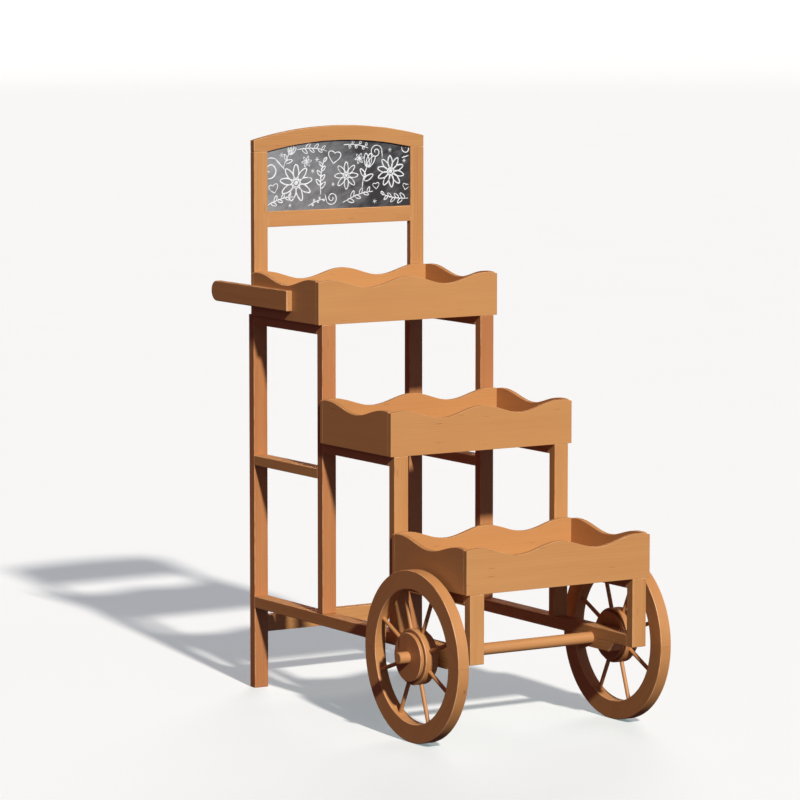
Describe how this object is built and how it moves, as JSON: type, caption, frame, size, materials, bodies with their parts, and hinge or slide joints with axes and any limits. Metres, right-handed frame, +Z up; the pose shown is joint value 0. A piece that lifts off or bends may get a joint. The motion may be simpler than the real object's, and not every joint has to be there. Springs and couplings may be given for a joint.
{
  "type": "flower cart stand",
  "caption": "Timber plant stand of stepped scalloped trays on posts, with spoked wagon wheels on one axle, push handles and an arched board at the back.",
  "frame": {"origin": "bottom centre of the whole stand's bounding box, on the floor", "axes": "+Z up, -Y towards the lowest tray, which is the stand's front, +X to the right when the stand is seen from the front"},
  "size_m": [0.6636, 1.16, 1.3775],
  "materials": {
    "timber": "stained and oiled softwood, satin",
    "dowel_timber": "stained round bar, satin",
    "wheel_timber": "stained softwood, satin",
    "chalkboard": "matt chalkboard paint"
  },
  "bodies": {
    "cart": {"front_post_left": "timber", "second_post_left": "timber", "third_post_left": "timber", "rear_post_left": "timber", "front_post_right": "timber", "second_post_right": "timber", "third_post_right": "timber", "rear_post_right": "timber", "lower_bearer_left": "timber", "middle_bearer_left": "timber", "upper_bearer_left": "timber", "lower_bearer_right": "timber", "middle_bearer_right": "timber", "upper_bearer_right": "timber", "bottom_rail_left": "timber", "bottom_rail_right": "timber", "stretcher_left": "timber", "stretcher_right": "timber", "bearing_block_left": "timber", "bearing_block_right": "timber", "rear_cross_rail": "timber", "lower_tray_front": "timber", "lower_tray_back": "timber", "lower_tray_side_left": "timber", "lower_tray_side_right": "timber", "lower_tray_floor": "timber", "middle_tray_front": "timber", "middle_tray_back": "timber", "middle_tray_side_left": "timber", "middle_tray_side_right": "timber", "middle_tray_floor": "timber", "upper_tray_front": "timber", "upper_tray_back": "timber", "upper_tray_side_left": "timber", "upper_tray_side_right": "timber", "upper_tray_floor": "timber", "handle_left": "timber", "handle_right": "timber", "header_upright_left": "timber", "header_upright_right": "timber", "header_bar": "timber", "header_arch": "timber", "chalkboard": "chalkboard"},
    "wheelset": {"axle": "dowel_timber", "hub_left": "wheel_timber", "hub_cap_outer_left": "wheel_timber", "hub_cap_inner_left": "wheel_timber", "felloe_left_1": "wheel_timber", "felloe_left_2": "wheel_timber", "felloe_left_3": "wheel_timber", "felloe_left_4": "wheel_timber", "hub_right": "wheel_timber", "hub_cap_outer_right": "wheel_timber", "hub_cap_inner_right": "wheel_timber", "felloe_right_1": "wheel_timber", "felloe_right_2": "wheel_timber", "felloe_right_3": "wheel_timber", "felloe_right_4": "wheel_timber"}
  },
  "joints": [
    {"name": "wheelset_spin", "type": "hinge", "parent": "cart", "child": "wheelset", "pos_m": [0, -0.38, 0.2], "axis": [1, 0, 0], "continuous": true}
  ]
}
